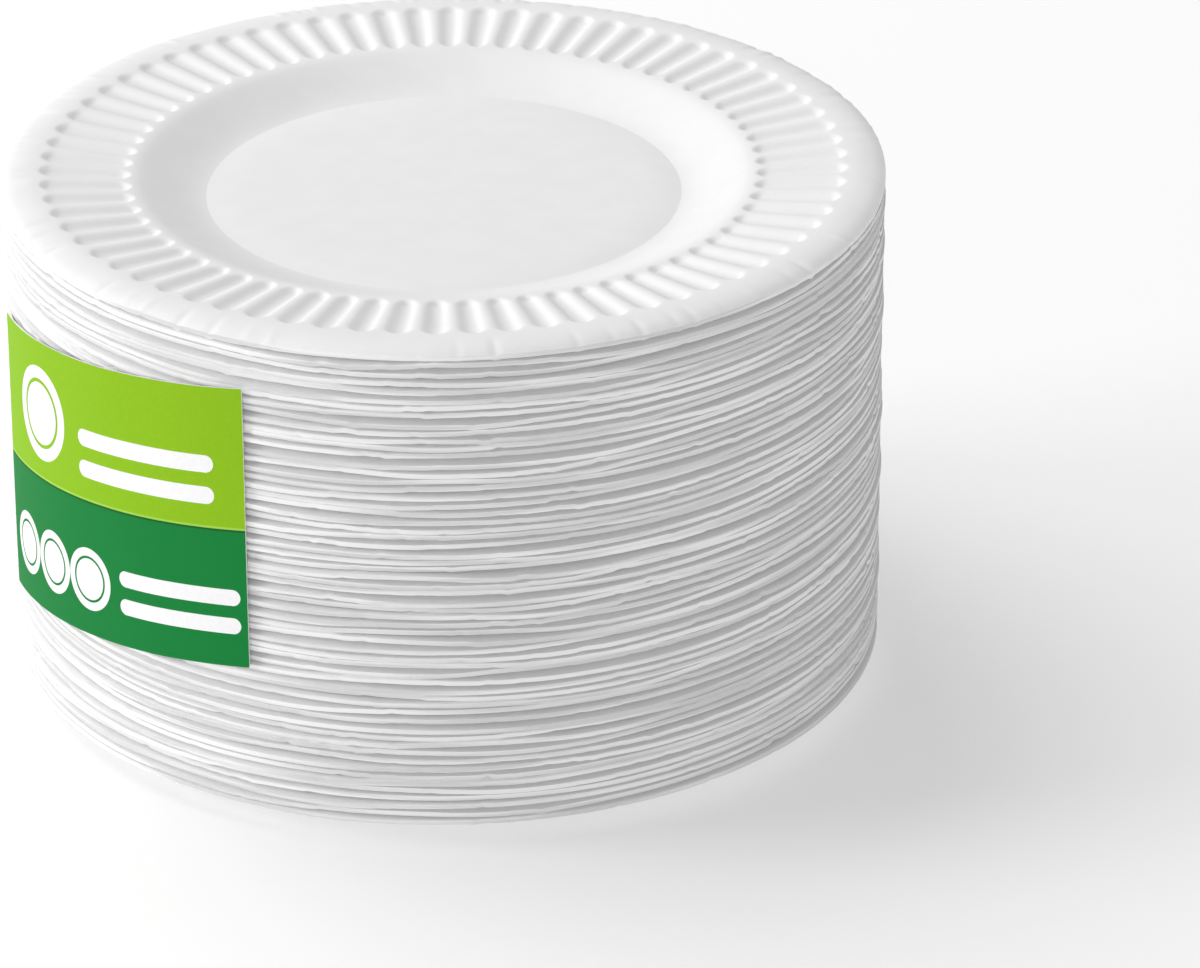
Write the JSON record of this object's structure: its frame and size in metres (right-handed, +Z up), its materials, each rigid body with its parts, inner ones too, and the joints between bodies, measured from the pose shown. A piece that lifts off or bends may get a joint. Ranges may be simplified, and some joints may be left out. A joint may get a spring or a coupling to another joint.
{
  "type": "stack of paper plates",
  "caption": "Stack of round white paper plates with fluted rims and a shallow well, nested in one another, with a two-tone green paper label part of the way round the side.",
  "frame": {"origin": "centre of the lowest plate's flat floor, on the surface that the stack stands on", "axes": "+Z up along the stack's axis, -Y towards the front, +X to the right as seen from the front"},
  "size_m": [0.1528, 0.1527, 0.0921],
  "materials": {
    "plate_paper": "uncoated, matt white",
    "label_paper": "printed in two greens, slightly glossy"
  },
  "bodies": {
    "root": {"bottom_plate": "plate_paper", "plate_02": "plate_paper", "plate_03": "plate_paper", "plate_04": "plate_paper", "plate_05": "plate_paper", "plate_06": "plate_paper", "plate_07": "plate_paper", "plate_08": "plate_paper", "plate_09": "plate_paper", "plate_10": "plate_paper", "plate_11": "plate_paper", "plate_12": "plate_paper", "plate_13": "plate_paper", "plate_14": "plate_paper", "plate_15": "plate_paper", "plate_16": "plate_paper", "plate_17": "plate_paper", "plate_18": "plate_paper", "plate_19": "plate_paper", "plate_20": "plate_paper", "plate_21": "plate_paper", "plate_22": "plate_paper", "plate_23": "plate_paper", "plate_24": "plate_paper", "plate_25": "plate_paper", "plate_26": "plate_paper", "plate_27": "plate_paper", "plate_28": "plate_paper", "plate_29": "plate_paper", "plate_30": "plate_paper", "plate_31": "plate_paper", "plate_32": "plate_paper", "plate_33": "plate_paper", "plate_34": "plate_paper", "plate_35": "plate_paper", "plate_36": "plate_paper", "plate_37": "plate_paper", "plate_38": "plate_paper", "plate_39": "plate_paper", "plate_40": "plate_paper", "plate_41": "plate_paper", "plate_42": "plate_paper", "plate_43": "plate_paper", "plate_44": "plate_paper", "plate_45": "plate_paper", "plate_46": "plate_paper", "plate_47": "plate_paper", "plate_48": "plate_paper", "plate_49": "plate_paper", "plate_50": "plate_paper", "plate_51": "plate_paper", "plate_52": "plate_paper", "plate_53": "plate_paper", "plate_54": "plate_paper", "plate_55": "plate_paper", "plate_56": "plate_paper", "plate_57": "plate_paper", "plate_58": "plate_paper", "top_plate": "plate_paper", "label": "label_paper"}
  },
  "joints": []
}
